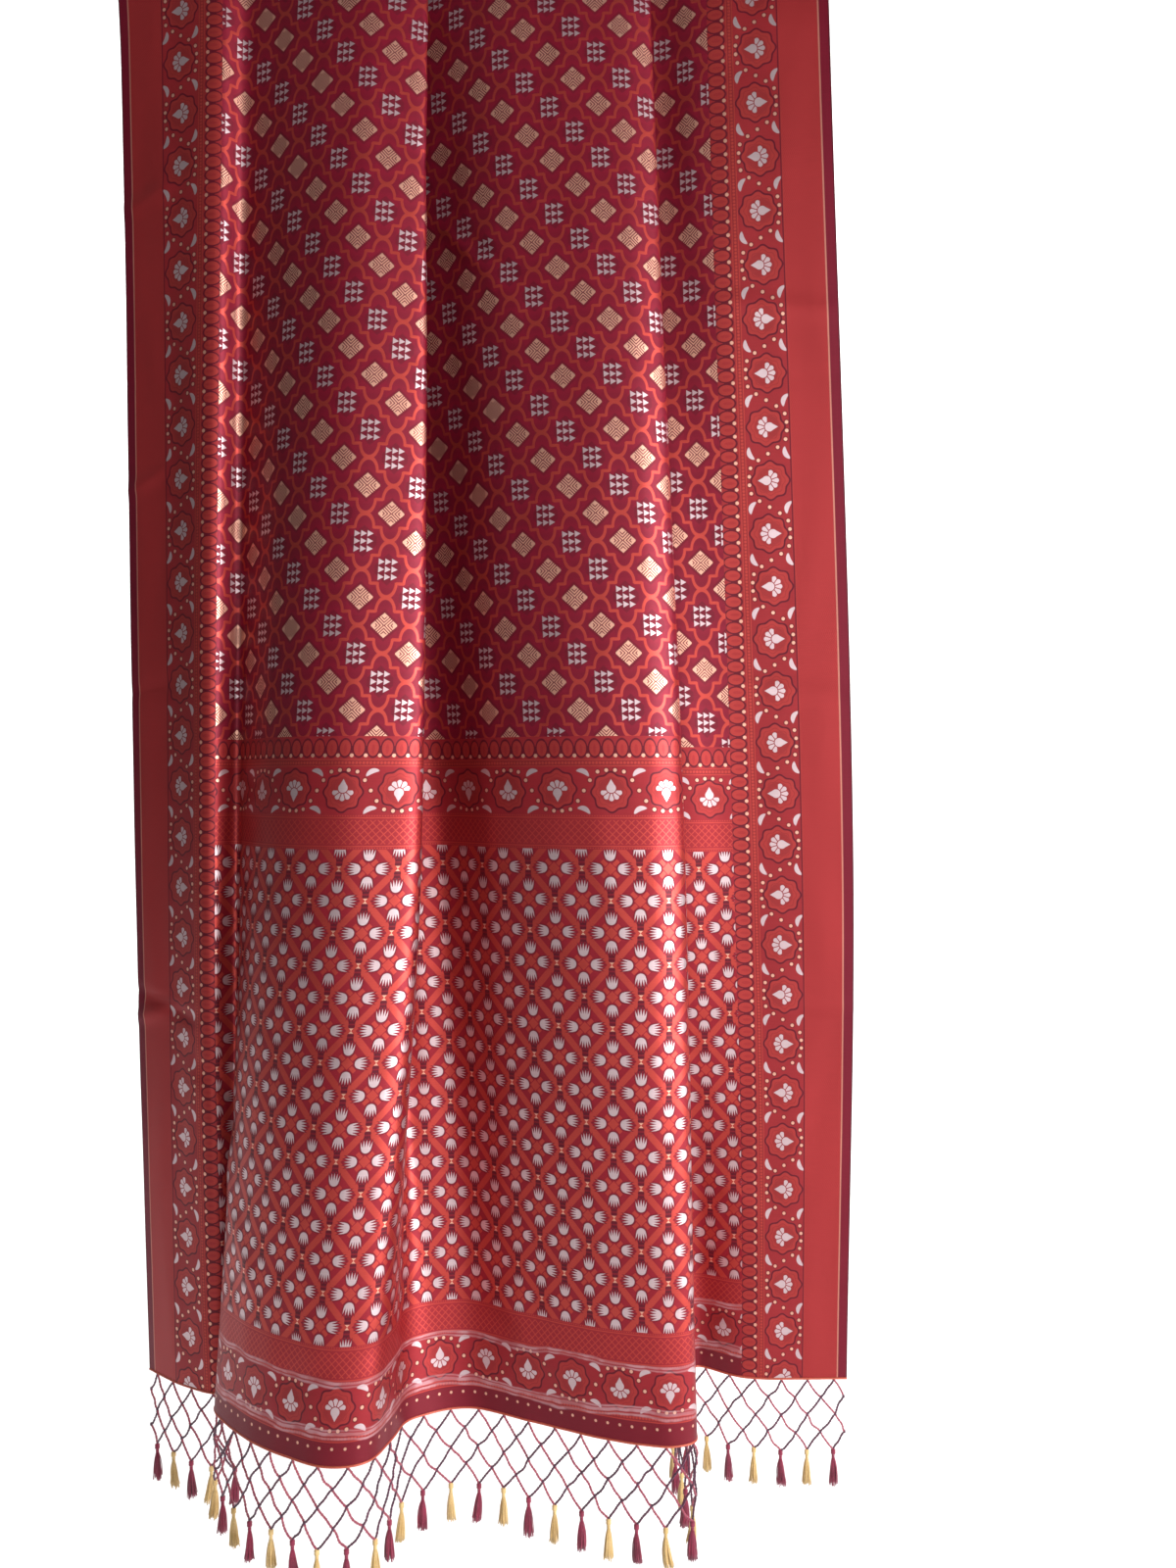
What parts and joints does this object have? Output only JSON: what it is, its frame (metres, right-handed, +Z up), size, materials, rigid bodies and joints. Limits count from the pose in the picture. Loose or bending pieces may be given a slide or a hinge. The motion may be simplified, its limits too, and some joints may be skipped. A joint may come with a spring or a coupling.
{
  "type": "saree hung over a rod",
  "caption": "Brocade saree draped over a rod in soft pleats, its patterned end piece and knotted net fringe with tassels hanging at the front.",
  "frame": {"origin": "on the rod's axis, at the middle of the rod's length", "axes": "+Z up, opposite to the way the cloth hangs; +X along the rod, to the right seen from the front; -Y towards the viewer of the end piece"},
  "size_m": [0.96, 0.2375, 1.7823],
  "materials": {
    "body_cloth": "crimson silk brocade with copper and silver zari figures, soft sheen",
    "pallu_cloth": "crimson and copper zari brocade end piece, metallic sheen",
    "fringe_yarn": "maroon and gold twisted silk yarn",
    "rod": "plain satin varnished wood"
  },
  "bodies": {
    "root": {"rod": "rod", "spare_length": "body_cloth", "body_over_rod": "body_cloth", "body_front": "body_cloth", "body_back": "body_cloth", "pallu": "pallu_cloth", "fringe": "fringe_yarn"}
  },
  "joints": []
}
